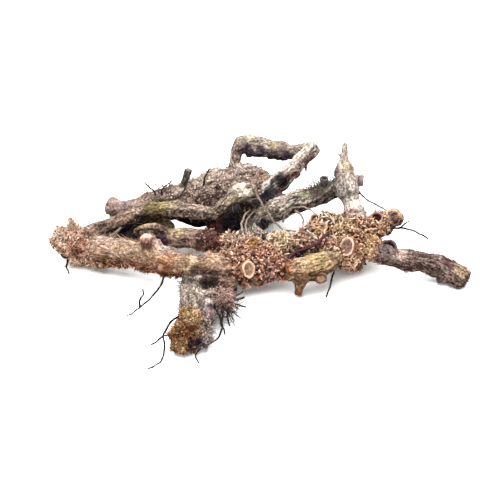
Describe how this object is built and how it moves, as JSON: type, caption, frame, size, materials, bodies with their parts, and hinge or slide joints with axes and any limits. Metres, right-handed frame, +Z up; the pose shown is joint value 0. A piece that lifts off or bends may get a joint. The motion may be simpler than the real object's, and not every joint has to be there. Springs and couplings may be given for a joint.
{
  "type": "polypody root",
  "caption": "Dried creeping rhizome of a polypody fern: a tangle of branching scaly stems with round leaf scars and wiry rootlets, lying flat.",
  "frame": {"origin": "under the middle of the whole root, on the surface that it lies on", "axes": "+X to the right along the root's length, +Y away from the viewer, +Z up"},
  "size_m": [0.1829, 0.1504, 0.04],
  "materials": {
    "bark": "rough, ridged, dry",
    "scales": "papery, matt",
    "rootlets": "wiry, matt",
    "scars": "corky, matt"
  },
  "bodies": {
    "root": {"rhizome": "bark"}
  },
  "joints": []
}
